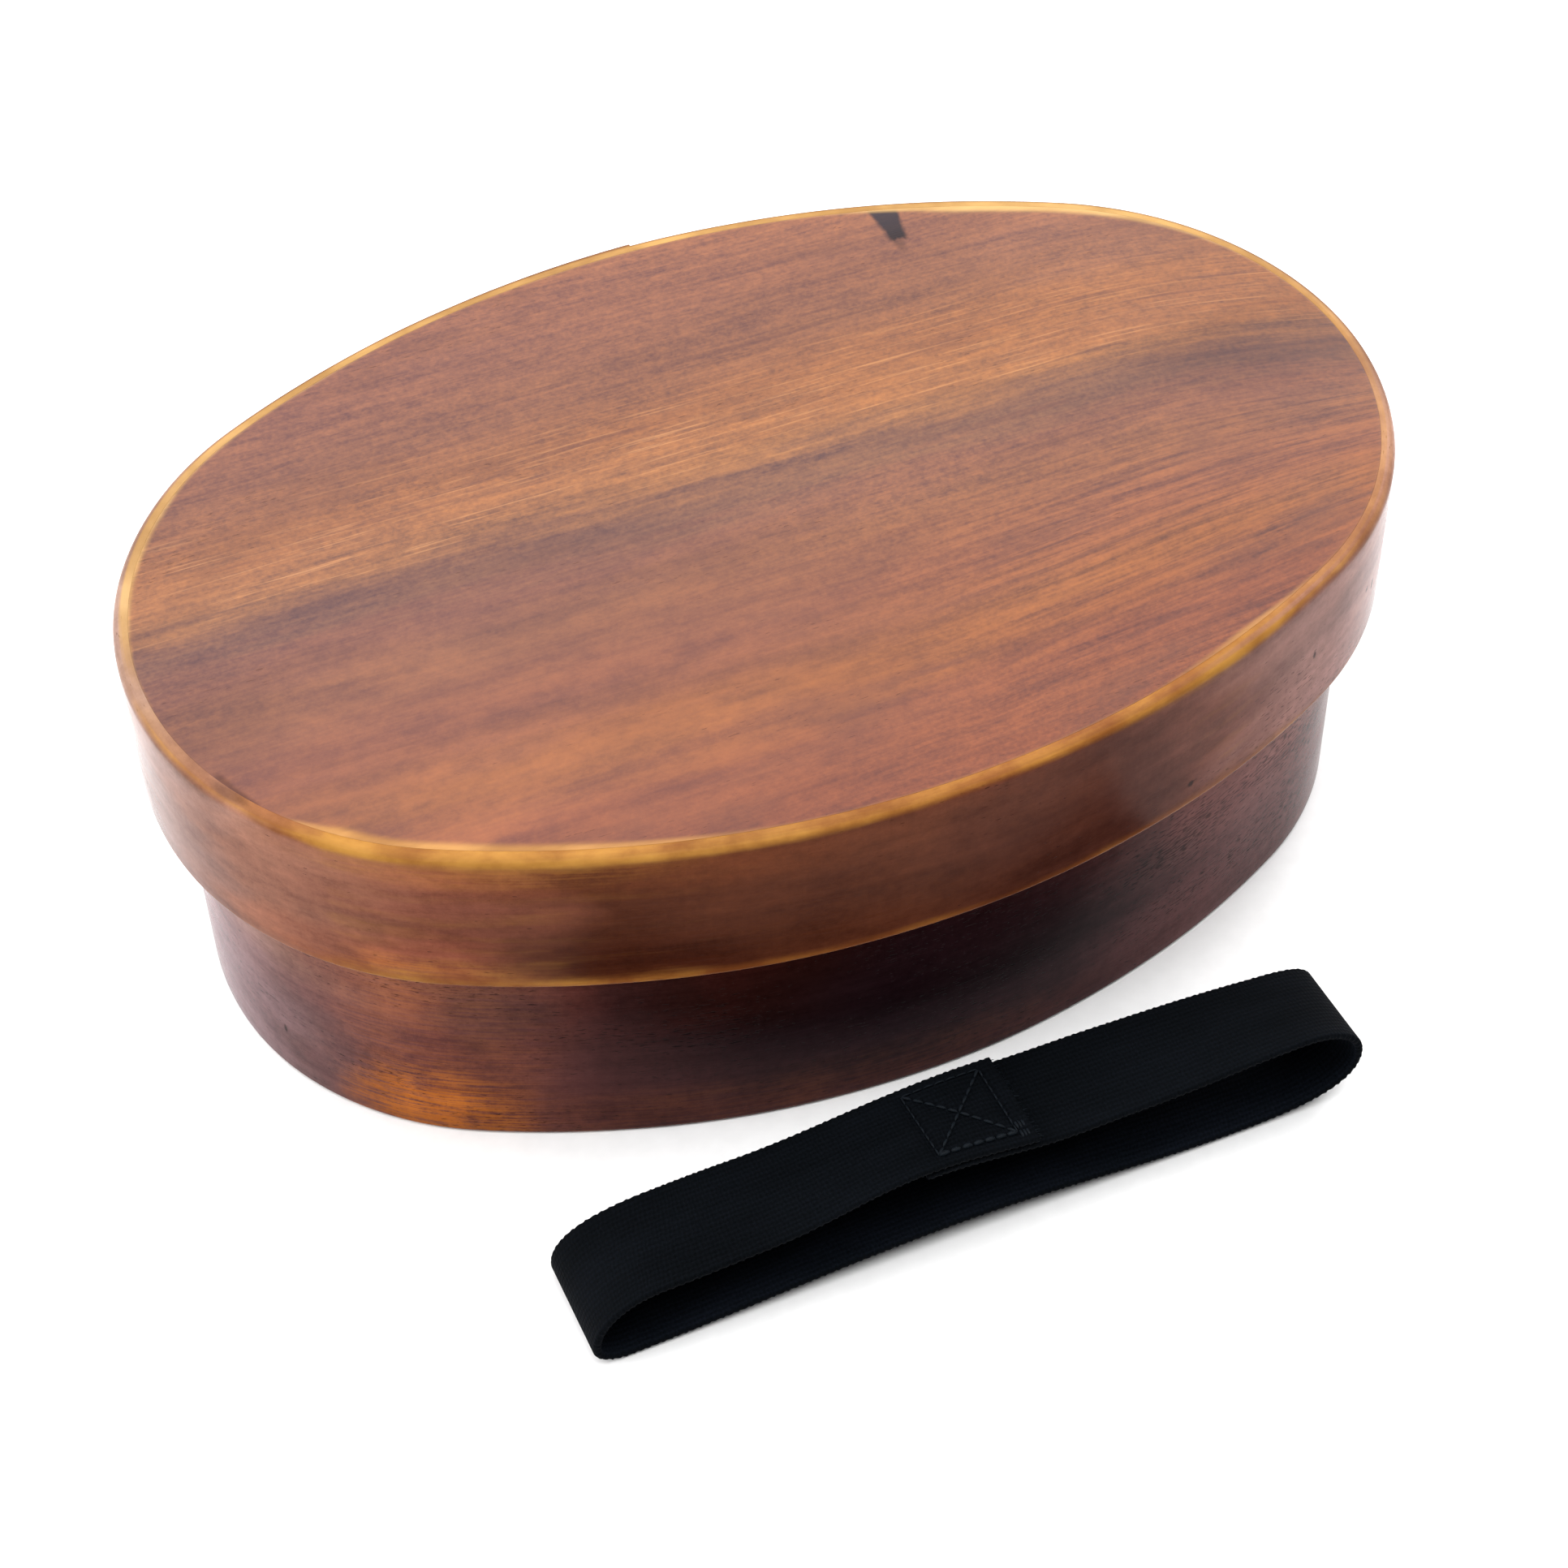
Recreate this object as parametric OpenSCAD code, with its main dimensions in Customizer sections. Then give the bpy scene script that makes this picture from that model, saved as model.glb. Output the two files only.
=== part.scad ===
// Oval bent-wood lunch box with a cover lid, a loose divider and an elastic strap.
// Millimetres, +Z up. The origin is the middle of the underside and X runs along the box.

/* [Box] */
// Length of the closed box, over the lid
box_length = 190; // [165:1:215]
// Width of the closed box, over the lid
box_width = 125; // [108:1:145]
// Radius of the long sides of the lid, seen from above
side_radius = 144; // [128:1:220]
// Height of the closed box
box_height = 65.5; // [60:0.5:85]
// Height of the lid
lid_height = 26; // [16:0.5:36]
// Gap between the lid's band and the body's band
lid_clearance = 1.6; // [1.3:0.05:2.5]

/* [Wood] */
// Thickness of the lid's bent band
lid_wall = 3.2; // [2.7:0.1:4.2]
// Thickness of the body's bent band
body_wall = 3.4; // [2.7:0.1:4.5]
// Thickness of the lid's top board
lid_board = 4.5; // [3:0.1:7]
// Thickness of the bottom board
bottom_board = 5; // [3:0.1:8]
// How far each board is let into its band
rebate_depth = 1; // [0.5:0.1:1.2]
// Glue line round each board
glue_line = 0.08; // [0.04:0.01:0.15]
// Rounding of the lid's upper outer edge
lid_edge_round = 1.4; // [0.6:0.1:1.5]
// Rounding of the bands' lower outer edges
lower_edge_round = 0.9; // [0.4:0.1:1.2]
// Rounding of both edges of the body's rim
rim_round = 0.7; // [0.3:0.1:1.1]

/* [Lap joints] */
// Length over which the two ends of a band overlap
lap_length = 30; // [20:1:40]
// Thickness to which the ends of a band are thinned
lap_ply = 1.2; // [0.8:0.1:1.6]
// Height of the step at the outer end of a lap
lap_step = 0.6; // [0.3:0.05:0.8]
// Height of the step at the inner end of a lap
lap_inner_step = 0.3; // [0.15:0.05:0.4]
// Height that is left where a lap is feathered out
lap_feather = 0.08; // [0.05:0.01:0.1]
// Place of the lid's lap along the back, from the middle
lid_lap_x = -13; // [-40:1:20]
// Place of the body's lap along the back, from the middle
body_lap_x = -46; // [-52:1:-43]

/* [Divider] */
// Thickness of the divider
divider_thickness = 3; // [2:0.1:5]
// Height of the divider
divider_height = 48; // [25:1:50]
// Rest place of the divider, from the middle of the box
divider_x = 25; // [10:1:27]
// Gap between the divider and the wall at each end
divider_end_gap = 0.4; // [0.3:0.05:1]
// Gap under the divider
divider_foot_gap = 0.15; // [0.1:0.05:0.3]
// Rounding of the divider's upper corners
divider_corner = 5; // [2:0.5:10]

/* [Strap] */
// Width of the elastic
strap_width = 17; // [12:0.5:24]
// Thickness of the elastic
strap_thickness = 1.2; // [0.8:0.1:1.6]
// Length of the loop as it lies on the table
loop_length = 120; // [110:1:140]
// Place of the loop's middle along the box
strap_x = -3.4; // [-20:0.1:20]
// Clear table between the box and the strap
strap_gap = 7.6; // [5:0.1:40]
// Height of the loop at its right bend
right_height = 15.4; // [13:0.1:18]
// Height at which the right bend is widest
right_bend = 8.4; // [7:0.1:9]
// Height of the loop at its left bend
left_height = 14; // [12:0.1:17]
// Height at which the left bend is widest
left_bend = 3.2; // [2.8:0.1:5]
// Height of the upper run where it dips beside the sewn join
dip_height = 13.8; // [12:0.1:15]
// Height of the lower ply at the sewn join
join_height = 16.3; // [15:0.1:18]
// Rise of the lower run off the table, midway
arch_rise = 2.6; // [1:0.1:4]
// Length of the sewn join, where the ends overlap
join_length = 17; // [14:0.5:22]
// Place of the sewn join, from the loop's middle
join_offset = -1.3; // [-8:0.1:8]
// Length of the sewn box along the strap
stitch_box_length = 12; // [8:0.5:13]
// Distance of the sewn box from the strap's edges
stitch_margin = 2; // [1.5:0.1:3]
// Width of a sewn line
thread_width = 0.8; // [0.4:0.1:1]
// Height of a sewn line over the elastic
thread_height = 0.35; // [0.2:0.05:0.5]

/* [Hidden] */
$fn = 128;
// Reach of a cut past the face that it opens
cut_reach = 1;
// Height of a band's plain inner face that is left beyond a lap
lap_margin = 0.2;
// Facets that round an edge of a band
edge_facets = 4;
degrees_per_radian = 180 / PI;

// The oval has four arcs: two ends and two flatter sides, which meet smoothly
half_length = box_length / 2;
half_width = box_width / 2;
end_radius = (2 * side_radius * half_width - half_length * half_length - half_width * half_width)
    / (2 * (side_radius - half_length));
end_x = half_length - end_radius;
side_y = side_radius - half_width;
turn = atan2(side_y, end_x);
// The end arcs are drawn a little fuller, so that each crosses its side arcs cleanly
arc_overlap = 0.02;
tip_radius = end_radius + arc_overlap;
tip_x = end_x - arc_overlap;

// Heights, and insets from the outer face of the lid
lid_bottom = box_height - lid_height;
body_height = box_height - lid_board;
body_inset = lid_wall + lid_clearance;
inner_inset = body_inset + body_wall;
lid_board_inset = lid_wall - rebate_depth;
bottom_board_inset = inner_inset - rebate_depth;

// Half the clear width between the body's walls, at a place along the box
function clear_half(x) = sqrt(pow(side_radius - inner_inset, 2) - x * x) - side_y;
divider_half = clear_half(divider_x + divider_thickness / 2) - divider_end_gap;

// The strap lies parallel to the box, in front of it
strap_back = -half_width - strap_gap;
strap_left = strap_x - loop_length / 2;
strap_right = strap_x + loop_length / 2;
join_x = strap_x + join_offset;
join_left = join_x - join_length / 2;
join_right = join_x + join_length / 2;
join_top = join_height + strap_thickness;
// Runs along the strap from the join to the dips beside it, and from the bends to the flat runs
right_dip_run = 11;
left_dip_run = 24;
right_bend_run = 8;
left_bend_run = 11;
left_foot_run = 4;
// Length of the slope by which the upper ply climbs on to the lower one
ply_slope = 7;
// Points on each stretch of the loop, and the share of it over which an end keeps its direction
loop_steps = 10;
loop_pull = 0.39;
// Turning points of the loop's outer face, seen from the front: place, height, direction
loop_stations = [
    [strap_right, right_bend, 90],
    [strap_right - right_bend_run, right_height, 180],
    [join_right + right_dip_run, dip_height, 180],
    [join_right, join_height, 180],
    [join_left, join_height, 180],
    [join_left - left_dip_run, dip_height, 180],
    [strap_left + left_bend_run, left_height, 180],
    [strap_left, left_bend, 270],
    [strap_left + left_foot_run, 0, 0],
    [strap_x, arch_rise, 0],
    [strap_right - right_bend_run, 0, 0]
];

function heading(angle) = [cos(angle), sin(angle)];
// The rounding of an edge about a centre, from one direction to another
function edge_arc(centre, radius, from, to) =
    [for (i = [0 : edge_facets]) centre + radius * heading(from + (to - from) * i / edge_facets)];
function place(station) = [station[0], station[1]];
// The four control points of the stretch between two stations
function stretch(a, b) =
    let (pull = loop_pull * norm(place(b) - place(a)))
        [place(a), place(a) + pull * heading(a[2]), place(b) - pull * heading(b[2]), place(b)];
function bezier(p, t) = p[0] * pow(1 - t, 3) + 3 * p[1] * t * pow(1 - t, 2)
    + 3 * p[2] * t * t * (1 - t) + p[3] * pow(t, 3);
function bezier_slope(p, t) = 3 * (p[1] - p[0]) * pow(1 - t, 2) + 6 * (p[2] - p[1]) * t * (1 - t)
    + 3 * (p[3] - p[2]) * t * t;
function inward(slope) = [-slope[1], slope[0]] / norm(slope);
// The loop's outline at a depth below its outer face
function loop_face(depth) = [
    for (i = [0 : len(loop_stations) - 1])
        let (p = stretch(loop_stations[i], loop_stations[(i + 1) % len(loop_stations)]))
            for (k = [0 : loop_steps - 1])
                let (t = k / loop_steps) bezier(p, t) + depth * inward(bezier_slope(p, t))
];

// Plan of the part of the oval that its two side arcs bound
module side_sector() {
    reach = box_length * heading(turn);
    polygon([
        [end_x, 0],
        [end_x + reach[0], reach[1]],
        [-end_x - reach[0], reach[1]],
        [-end_x, 0],
        [-end_x - reach[0], -reach[1]],
        [end_x + reach[0], -reach[1]]
    ]);
}

// Plan of the oval, drawn in from the lid's outer face
module oval(inset) {
    for (side = [-1, 1])
        translate([side * tip_x, 0])
            circle(r = tip_radius - inset);
    intersection() {
        translate([0, side_y])
            circle(r = side_radius - inset);
        translate([0, -side_y])
            circle(r = side_radius - inset);
        side_sector();
    }
}

// Plain oval block between two heights
module oval_block(inset, low, high) {
    translate([0, 0, low])
        linear_extrude(high - low)
            oval(inset);
}

// Half section of a round block with rounded edges
module rounded_section(radius, height, low_round, high_round) {
    polygon(concat(
        [[0, 0]],
        edge_arc([radius - low_round, low_round], low_round, -90, 0),
        edge_arc([radius - high_round, height - high_round], high_round, 0, 90),
        [[0, height]]
    ));
}

// Oval block between two heights, with its lower and upper edges rounded
module rounded_block(inset, low, high, low_round, high_round) {
    translate([0, 0, low]) {
        for (side = [-1, 1])
            translate([side * tip_x, 0, 0])
                rotate_extrude()
                    rounded_section(tip_radius - inset, high - low, low_round, high_round);
        intersection() {
            translate([0, side_y, 0])
                rotate_extrude()
                    rounded_section(side_radius - inset, high - low, low_round, high_round);
            translate([0, -side_y, 0])
                rotate_extrude()
                    rounded_section(side_radius - inset, high - low, low_round, high_round);
            linear_extrude(high - low)
                side_sector();
        }
    }
}

// Half section of a cut that flares out to round an inner edge at its top
module flared_section(radius, flare) {
    polygon(concat(
        [[0, -flare]],
        edge_arc([radius + flare, -flare], flare, 180, 90),
        [[radius + flare, cut_reach], [0, cut_reach]]
    ));
}

// Oval cut that rounds the inner edge of a rim
module flared_cut(inset, top, flare) {
    translate([0, 0, top]) {
        for (side = [-1, 1])
            translate([side * tip_x, 0, 0])
                rotate_extrude()
                    flared_section(tip_radius - inset, flare);
        intersection() {
            translate([0, side_y, 0])
                rotate_extrude()
                    flared_section(side_radius - inset, flare);
            translate([0, -side_y, 0])
                rotate_extrude()
                    flared_section(side_radius - inset, flare);
            translate([0, 0, -flare])
                linear_extrude(flare + cut_reach)
                    side_sector();
        }
    }
}

// One end of a band where it laps the other at the back: a thinned strip that leaves the face at
// its root and ends in a step. lift is positive outside the band and negative inside it.
module lap_end(face_radius, middle_x, low, high, lift) {
    half_angle = lap_length / face_radius * degrees_per_radian / 2;
    middle = acos(middle_x / face_radius);
    outside = lift > 0;
    root = outside ? middle + half_angle : middle - half_angle;
    near_radius = outside ? face_radius - lap_ply : face_radius;
    translate([0, -side_y, low])
        translate((face_radius + sign(lift) * lap_feather) * heading(root))
            rotate(abs(lift) / lap_length * degrees_per_radian)
                translate(-face_radius * heading(root))
                    rotate(middle - half_angle)
                        rotate_extrude(angle = 2 * half_angle)
                            translate([near_radius, 0])
                                square([lap_ply, high - low]);
}

module body_side() {
    face = side_radius - body_inset;
    inner_face = side_radius - inner_inset;
    lap_top = body_height - rim_round - lap_margin;
    color("#4a2c24") {
        difference() {
            rounded_block(body_inset, 0, body_height, lower_edge_round, rim_round);
            oval_block(inner_inset, bottom_board, body_height + cut_reach);
            oval_block(bottom_board_inset, -cut_reach, bottom_board);
            flared_cut(inner_inset, body_height, rim_round);
        }
        lap_end(face, body_lap_x, lower_edge_round, lap_top, lap_step);
        lap_end(inner_face, body_lap_x, bottom_board + lap_margin, lap_top, -lap_inner_step);
    }
}

module bottom_panel() {
    color("#7a4630")
        oval_block(bottom_board_inset + glue_line, 0, bottom_board);
}

module lid_side() {
    face = side_radius;
    inner_face = side_radius - lid_wall;
    lap_top = box_height - lid_edge_round;
    color("#8c5537") {
        difference() {
            rounded_block(0, lid_bottom, box_height, lower_edge_round, lid_edge_round);
            oval_block(lid_wall, lid_bottom - cut_reach, body_height);
            oval_block(lid_board_inset, body_height, box_height + cut_reach);
        }
        lap_end(face, lid_lap_x, lid_bottom + lower_edge_round, lap_top, lap_step);
        lap_end(inner_face, lid_lap_x, lid_bottom + lap_margin, body_height - lap_margin, -lap_inner_step);
    }
}

module lid_panel() {
    color("#b07862")
        oval_block(lid_board_inset + glue_line, body_height, box_height);
}

// What rounding takes off the divider's upper corner, which points along y_way
module corner_cut(radius, y_way) {
    difference() {
        square(2 * radius, center = true);
        translate([-y_way * radius, -radius])
            circle(r = radius);
    }
}

module divider() {
    color("#7a4630")
        translate([divider_x - divider_thickness / 2, 0, bottom_board + divider_foot_gap])
            rotate([90, 0, 90])
                linear_extrude(divider_thickness)
                    difference() {
                        translate([-divider_half, 0])
                            square([2 * divider_half, divider_height]);
                        for (side = [-1, 1])
                            translate([side * divider_half, divider_height])
                                corner_cut(divider_corner, side);
                    }
}

// The upper ply of the sewn join, from the slope on its left to its cut end on the right
module upper_ply() {
    sunk = join_height - strap_thickness / 2;
    polygon([[join_left - ply_slope, sunk], [join_right, sunk], [join_right, join_top], [join_left, join_top]]);
}

module elastic_strap() {
    color("#16181c")
        translate([0, strap_back, 0])
            rotate([90, 0, 0])
                linear_extrude(strap_width) {
                    difference() {
                        polygon(loop_face(0));
                        polygon(loop_face(strap_thickness));
                    }
                    upper_ply();
                }
}

// A sewn line on the strap's upper ply, between two places
module sewn_line(from, to) {
    run = to - from;
    translate(from)
        rotate(atan2(run[1], run[0]))
            translate([-thread_width / 2, -thread_width / 2])
                cube([norm(run) + thread_width, thread_width, thread_height]);
}

module strap_stitching() {
    half_run = stitch_box_length / 2;
    front = stitch_margin - strap_width;
    back = -stitch_margin;
    color("#202c3a")
        translate([join_x, strap_back, join_top]) {
            for (end = [-half_run, half_run])
                sewn_line([end, front], [end, back]);
            for (edge = [front, back])
                sewn_line([-half_run, edge], [half_run, edge]);
            sewn_line([-half_run, front], [half_run, back]);
            sewn_line([-half_run, back], [half_run, front]);
        }
}

body_side();
bottom_panel();
lid_side();
lid_panel();
divider();
elastic_strap();
strap_stitching();
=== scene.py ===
"""Looks of an oval bent-wood lunch box in wiped lacquer, with an elastic strap lying in front of it."""
import math
from functools import partial, reduce

import bmesh
import bpy
import numpy as np
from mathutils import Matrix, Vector


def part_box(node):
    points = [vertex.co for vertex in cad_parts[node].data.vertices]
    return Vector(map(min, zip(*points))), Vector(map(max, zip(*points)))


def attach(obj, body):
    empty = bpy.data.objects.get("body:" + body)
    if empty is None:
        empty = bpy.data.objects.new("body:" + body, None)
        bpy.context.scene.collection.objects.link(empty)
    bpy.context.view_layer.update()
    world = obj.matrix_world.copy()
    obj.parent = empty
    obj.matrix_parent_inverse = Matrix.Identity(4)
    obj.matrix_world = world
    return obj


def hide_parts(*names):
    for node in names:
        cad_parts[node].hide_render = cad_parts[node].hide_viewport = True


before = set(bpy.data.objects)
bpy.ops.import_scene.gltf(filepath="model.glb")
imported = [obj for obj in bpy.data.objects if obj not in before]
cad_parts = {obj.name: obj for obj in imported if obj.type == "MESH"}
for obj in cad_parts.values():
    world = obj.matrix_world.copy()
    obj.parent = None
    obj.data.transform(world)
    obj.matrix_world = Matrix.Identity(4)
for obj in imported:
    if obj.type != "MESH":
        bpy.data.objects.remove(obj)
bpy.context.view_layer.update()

MM = 0.001
GRAIN_MAP = "grain"
WEAR = "wear"
PALE_GOLD = "#9e7c4c"
UNEVEN_GOLD = (0.78, 0.74, 0.7), (1.2, 1.24, 1.28)
UNCHANGED = (1.0, 1.0, 1.0)
BAND_GLOSS = 0.13, 0.24

# Sizes read from the frame
lid_low, lid_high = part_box("lid_side")
body_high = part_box("body_side")[1]
lid_board_low, lid_board_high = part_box("lid_panel")
base_low, base_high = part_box("bottom_panel")
divider_low, divider_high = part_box("divider")
strap_low, strap_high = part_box("elastic_strap")
half_length = lid_high.x
half_width = -lid_low.y
body_inset = half_length - body_high.x
base_inset = half_length - base_high.x

# Sizes of the pieces, as they are built
side_radius = 144 * MM
lid_wall = 3.2 * MM
rim_width = 2.2 * MM
body_wall = 3.4 * MM
rebate_depth = 1 * MM
lid_edge_round = 1.4 * MM
lower_edge_round = 0.9 * MM
rim_round = 0.7 * MM
small_round = 0.25 * MM
inner_round = 0.05 * MM
lap_length = 30 * MM
lap_step = 0.6 * MM
lap_inner_step = 0.3 * MM
lid_lap_x = -13 * MM
body_lap_x = -46 * MM
ripple_depth = 0.06 * MM
lid_board_soft = 0.04 * MM
base_board_soft = 0.3 * MM
divider_corner = 5 * MM
divider_foot_round = 1 * MM
divider_bevel = 0.5 * MM

# The knock in the lid's edge at the front left: its middle in millimetres, and the way it runs
knock_middle = -86.4, -23.7
knock_run = 0.42, -0.91

# The oval: two end arcs and two side arcs that meet smoothly
spare_radius = side_radius - half_length
end_radius = (2 * side_radius * half_width - half_length ** 2 - half_width ** 2) / (2 * spare_radius)
end_x = half_length - end_radius
side_y = side_radius - half_width
turn = math.atan2(side_y, end_x)


def oval(directions, inset):
    """Points of the oval, drawn in by inset, where its face looks along the directions."""
    along = np.cos(directions)
    across = np.sin(directions)
    on_end = np.abs(along) > math.cos(turn)
    end_reach = end_radius - inset
    side_reach = side_radius - inset
    x = np.where(on_end, np.sign(along) * end_x + end_reach * along, side_reach * along)
    y = np.where(on_end, end_reach * across, side_reach * across - np.sign(across) * side_y)
    return np.stack([x, y], axis=-1)


def run_along(points):
    """Distance of each point along a line, from its first one."""
    return np.concatenate([[0], np.cumsum(np.linalg.norm(np.diff(points, axis=0), axis=1))])


def fading(distance, reach):
    """1 at no distance, and next to nothing at twice the reach."""
    return np.exp(-((distance / reach) ** 2))


# Arc lengths round the oval, counted from its left tip towards the front
table_directions = np.linspace(0, 4 * math.pi, 8001)
table_arcs = run_along(oval(table_directions, 0))
oval_length = table_arcs[-1] / 2
table_arcs -= oval_length / 2


def arc_of(direction):
    return np.interp(direction, table_directions, table_arcs)


def direction_of(arc):
    return np.interp(arc, table_arcs, table_directions)


def rounding(inset, height, radius, first, last, steps=5):
    """Points of a rounded edge about a centre, by angles in degrees from the outward direction."""
    angles = np.radians(np.linspace(first, last, steps + 1))
    return [(inset - radius * math.cos(angle), height + radius * math.sin(angle)) for angle in angles]


def colour(value):
    """Linear colour of a hex code. A plain value stays as it is."""
    if not isinstance(value, str):
        return value
    levels = [int(value[k : k + 2], 16) / 255 for k in (1, 3, 5)]
    linear = [v / 12.92 if v <= 0.04045 else ((v + 0.055) / 1.055) ** 2.4 for v in levels]
    return (*linear, 1.0)


def placed(name, data):
    """An object of the scene, made from its data."""
    made = bpy.data.objects.new(name, data)
    bpy.context.scene.collection.objects.link(made)
    return made


def finish_mesh(name, points, faces, material, sharp_angle=35, corner_uvs=None, wear=None):
    """An object from points and faces, welded, with smooth shading between its sharp edges."""
    mesh = bpy.data.meshes.new(name)
    mesh.from_pydata(np.reshape(points, (-1, 3)).tolist(), [], faces)
    if corner_uvs is not None:
        grain_map = mesh.uv_layers.new(name=GRAIN_MAP)
        grain_map.data.foreach_set("uv", np.asarray(corner_uvs, np.float32).ravel())
    if wear is not None:
        worn = mesh.attributes.new(WEAR, "FLOAT", "POINT")
        worn.data.foreach_set("value", np.asarray(wear, np.float32))
    work = bmesh.new()
    work.from_mesh(mesh)
    bmesh.ops.remove_doubles(work, verts=work.verts, dist=0.001 * MM)
    bmesh.ops.recalc_face_normals(work, faces=work.faces)
    work.to_mesh(mesh)
    work.free()
    mesh.shade_smooth()
    mesh.set_sharp_from_angle(angle=math.radians(sharp_angle))
    mesh.materials.append(material)
    return placed(name, mesh)


def stand_for(piece, node, body):
    """The piece rides on a body in place of a node."""
    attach(piece, body)
    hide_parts(node)


class Shader:
    """The node tree of a material or a world, with short calls for the nodes that are used here."""

    def __init__(self, name, kind="materials"):
        self.owner = getattr(bpy.data, kind).new(name)
        self.owner.use_nodes = True
        self.tree = self.owner.node_tree

    def put(self, socket, value):
        """Links a socket to another one, or sets it to a plain value or to the colour of a hex code."""
        if isinstance(value, bpy.types.NodeSocket):
            self.tree.links.new(value, socket)
        else:
            socket.default_value = colour(value)

    def node(self, kind, inputs, **settings):
        made = self.tree.nodes.new("ShaderNode" + kind)
        for key, value in settings.items():
            setattr(made, key, value)
        for key, value in inputs.items():
            self.put(made.inputs[key], value)
        return made

    def math(self, operation, first, second=0.0):
        return self.node("Math", {0: first, 1: second}, operation=operation).outputs[0]

    def times(self, *values):
        """Product of values."""
        return reduce(partial(self.math, "MULTIPLY"), values)

    def total(self, *weighted):
        """Sum of values, each with its weight."""
        terms = [self.times(value, weight) for value, weight in weighted]
        while len(terms) > 1:
            terms.append(self.math("ADD", terms.pop(0), terms.pop(0)))
        return terms[0]

    def most(self, *values):
        """The greatest of some values."""
        return reduce(partial(self.math, "MAXIMUM"), values)

    def inverse(self, share):
        """What a share leaves of 1."""
        return self.math("SUBTRACT", 1.0, share)

    def past(self, value, start):
        """How far a value lies past a start, or 0 before it."""
        return self.most(self.math("SUBTRACT", value, start), 0.0)

    def off(self, value, middle):
        """How far a value lies from a middle, on either side."""
        return self.math("ABSOLUTE", self.math("SUBTRACT", value, middle))

    def mixed(self, share, first, second):
        """From the first level to the second by a share."""
        return self.node("Mix", {0: share, 2: first, 3: second}).outputs[0]

    def between(self, value, low, high):
        """Rises smoothly from 0 at low to 1 at high."""
        inputs = {"Value": value, "From Min": low, "From Max": high}
        return self.node("MapRange", inputs, interpolation_type="SMOOTHSTEP").outputs["Result"]

    def vector(self, operation, first, second):
        return self.node("VectorMath", {0: first, 1: second}, operation=operation).outputs["Vector"]

    def parts(self, vector):
        return self.node("SeparateXYZ", {"Vector": vector}).outputs

    def joined(self, x, y, z=0.0):
        return self.node("CombineXYZ", {"X": x, "Y": y, "Z": z}).outputs["Vector"]

    def own_place(self):
        """Place on the piece at rest, in millimetres."""
        here = self.node("TexCoord", {}).outputs["Object"]
        return self.vector("MULTIPLY", here, (1 / MM,) * 3)

    def map_place(self):
        """Place on the piece's grain map, in millimetres."""
        return self.node("UVMap", {}, uv_map=GRAIN_MAP).outputs["UV"]

    def noise(self, place, size, detail, roughness=0.55):
        """Noise whose features have a length, a width and, unless it is the width again, a depth."""
        sizes = (*size, size[1])[:3]
        scaled = self.vector("MULTIPLY", place, tuple(1 / s for s in sizes))
        inputs = {"Vector": scaled, "Scale": 1.0, "Detail": detail, "Roughness": roughness}
        return self.node("TexNoise", inputs, noise_dimensions="3D").outputs["Fac"]

    def spread_noise(self, place, size, detail, low=0.28, high=0.72, roughness=0.55):
        """Noise with its levels between low and high spread over 0 to 1."""
        return self.between(self.noise(place, size, detail, roughness), low, high)

    def wear(self):
        """How far an edge is rubbed, as the mesh has it."""
        return self.node("Attribute", {}, attribute_name=WEAR).outputs["Fac"]

    def ramp(self, value, stops):
        """Colours by value. Stops give the colour at each value."""
        low, high = min(stops), max(stops)
        scaled = self.math("DIVIDE", self.math("SUBTRACT", value, low), high - low)
        made = self.node("ValToRGB", {"Fac": scaled})
        marks = made.color_ramp.elements
        while len(marks) < len(stops):
            marks.new(1.0)
        for mark, (at, tint) in zip(marks, stops.items()):
            mark.position = (at - low) / (high - low)
            mark.color = colour(tint)
        return made.outputs["Color"]

    def blend(self, share, first, second, mode="MIX"):
        inputs = {0: share, 6: first, 7: second}
        return self.node("Mix", inputs, data_type="RGBA", blend_type=mode).outputs[2]

    def stain(self, tint, other, *shares):
        """A colour covered by another one, by the product of some shares."""
        return self.blend(self.times(*shares), tint, other)

    def spot(self, place, centre, reach):
        """1 at a centre, falling to 0 at its reach along x and y."""
        away = self.vector("SUBTRACT", place, (*centre, 0.0))
        scaled = self.vector("MULTIPLY", away, (1 / reach[0], 1 / reach[1], 0.0))
        distance = self.node("VectorMath", {0: scaled}, operation="LENGTH").outputs["Value"]
        return self.inverse(self.between(distance, 0.35, 1.0))

    def bump(self, height, depth):
        """Relief of a height between 0 and 1, to a depth."""
        return self.node("Bump", {"Height": height, "Distance": depth, "Strength": 1.0}).outputs["Normal"]

    def finish(self, tint, rough, relief, specular):
        surface = self.tree.nodes["Principled BSDF"].inputs
        self.put(surface["Base Color"], tint)
        self.put(surface["Roughness"], rough)
        self.put(surface["Normal"], relief)
        self.put(surface["Specular IOR Level"], specular)
        return self.owner


def grain(shader, place, sizes):
    """Streaks along x, from 0 to 1, each with its length and width."""
    sway = shader.noise(place, (110, 18), 2)
    bent = shader.vector("ADD", place, shader.joined(0.0, shader.times(sway, 6.0)))
    return [shader.spread_noise(bent, size, 2) for size in sizes]


def mottle(shader, place):
    """Fine uneven tone of the lacquer, from 0 to 1, with no direction."""
    return shader.spread_noise(place, (2.6, 2.1), 4, 0.25, 0.75, roughness=0.85)


def flecks(shader, place, amount, crowded=0.0):
    """Sparse short pores along x: more of them by amount, and where it is crowded."""
    fleck = shader.noise(place, (1.7, 0.3), 1)
    crowd = shader.noise(place, (40, 14), 2)
    level = shader.total((fleck, 0.75), (crowd, 0.4), (crowded, 0.1))
    return shader.between(level, 0.8 - amount, 0.84 - amount)


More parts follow.
